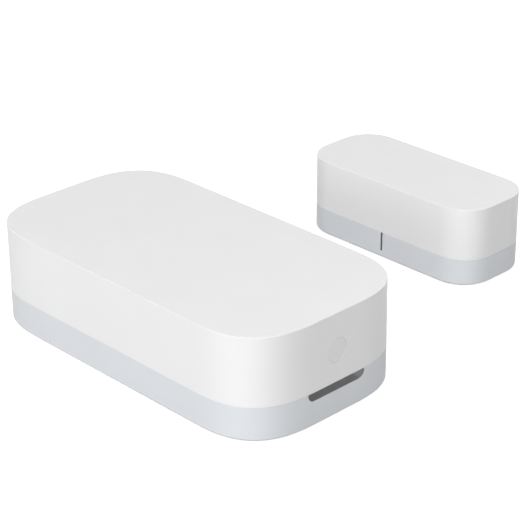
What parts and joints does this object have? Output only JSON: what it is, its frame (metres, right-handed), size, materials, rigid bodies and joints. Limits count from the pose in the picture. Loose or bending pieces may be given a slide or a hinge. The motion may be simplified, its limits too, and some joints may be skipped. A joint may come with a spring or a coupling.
{
  "type": "door contact sensor",
  "caption": "Wireless door contact sensor: a snap-together reed-switch unit with push button and coin cell for the frame, and a bar-magnet unit for the door, both stuck on.",
  "frame": {"origin": "middle of the outer face of the sensor unit's adhesive pad", "axes": "+Z away from the surface that both units are stuck to, +Y from the sensor unit to the magnet unit, +X towards the sensor unit's push button"},
  "size_m": [0.041, 0.0507, 0.0112],
  "materials": {
    "cover_white": "fine satin moulded plastic",
    "button_white": "fine satin moulded plastic",
    "tray_grey": "fine satin moulded plastic, light bluish grey",
    "adhesive_foam": "double-sided foam tape",
    "switch_black": "moulded plastic",
    "holder_black": "moulded plastic",
    "plunger_cream": "moulded plastic",
    "chip_black": "moulded epoxy",
    "board_green": "solder mask over glass-fibre board",
    "reed_glass": "clear, faintly green",
    "reed_nickel": "plated wire",
    "sheet_steel": "bright sheet",
    "screw_steel": "plated screw",
    "cell_nickel": "nickel-plated can",
    "magnet_nickel": "nickel plating",
    "contact_gold": "plated spring sheet",
    "antenna_ceramic": "fired ceramic",
    "capacitor_ceramic": "fired ceramic with tinned ends",
    "led_resin": "clear resin over a white base",
    "foam_dark": "closed-cell foam"
  },
  "bodies": {
    "frame_tray": {"sensor_tray": "tray_grey", "sensor_adhesive_pad": "adhesive_foam"},
    "cover_and_board": {"sensor_cover": "cover_white", "tact_switch_body": "switch_black", "tact_switch_frame": "sheet_steel", "circuit_board": "board_green", "reed_glass": "reed_glass", "reed_lead_fixed_blade": "reed_nickel", "reed_lead_outer": "reed_nickel", "board_screw_1": "screw_steel", "board_screw_2": "screw_steel", "board_screw_3": "screw_steel", "radio_chip": "chip_black", "crystal": "sheet_steel", "chip_antenna": "antenna_ceramic", "voltage_regulator": "chip_black", "bulk_capacitor": "capacitor_ceramic", "status_led": "led_resin", "chip_capacitor_1": "capacitor_ceramic", "chip_capacitor_2": "capacitor_ceramic", "chip_capacitor_3": "capacitor_ceramic", "chip_capacitor_4": "capacitor_ceramic", "chip_resistor_1": "chip_black", "chip_resistor_2": "chip_black", "chip_resistor_3": "chip_black", "battery_holder": "holder_black", "battery_clip_positive": "contact_gold", "battery_contact_negative": "contact_gold"},
    "push_button": {"push_button": "button_white"},
    "tact_plunger": {"tact_switch_plunger": "plunger_cream"},
    "reed_blade": {"reed_blade_moving": "reed_nickel"},
    "coin_cell": {"coin_cell_can": "cell_nickel", "coin_cell_gasket": "switch_black", "coin_cell_cap": "cell_nickel"},
    "magnet_tray": {"magnet_tray": "tray_grey", "magnet_adhesive_pad": "adhesive_foam", "bar_magnet": "magnet_nickel", "magnet_foam": "foam_dark"},
    "magnet_cover": {"magnet_cover": "cover_white"}
  },
  "joints": [
    {"name": "cover_lift", "type": "slide", "parent": "frame_tray", "child": "cover_and_board", "axis": [0, 0, 1], "range_m": [0, 0.03]},
    {"name": "cell_removal", "type": "slide", "parent": "cover_and_board", "child": "coin_cell", "axis": [0, 0, -1], "range_m": [0, 0.015]},
    {"name": "button_press", "type": "slide", "parent": "cover_and_board", "child": "push_button", "axis": [-1, 0, 0], "range_m": [0, 0.00025], "stiffness_N_per_m": 4000, "springref_m": -0.0001},
    {"name": "plunger_travel", "type": "slide", "parent": "cover_and_board", "child": "tact_plunger", "axis": [-1, 0, 0], "range_m": [0, 0.00025]},
    {"name": "door_opening", "type": "slide", "parent": "frame_tray", "child": "magnet_tray", "axis": [0, 1, 0], "range_m": [0, 0.04]},
    {"name": "magnet_cover_lift", "type": "slide", "parent": "magnet_tray", "child": "magnet_cover", "axis": [0, 0, 1], "range_m": [0, 0.02]},
    {"name": "reed_opening", "type": "hinge", "parent": "cover_and_board", "child": "reed_blade", "pos_m": [0.0059, 0.00724, 0.00745], "axis": [0, 0, -1], "range_deg": [0, 1.5]}
  ],
  "couplings": [
    {"joint": "cell_removal", "follows": "cover_lift", "ratio": 0.5},
    {"joint": "plunger_travel", "follows": "button_press", "ratio": 1},
    {"joint": "reed_opening", "follows": "door_opening", "rad_per_m": 0.65}
  ]
}
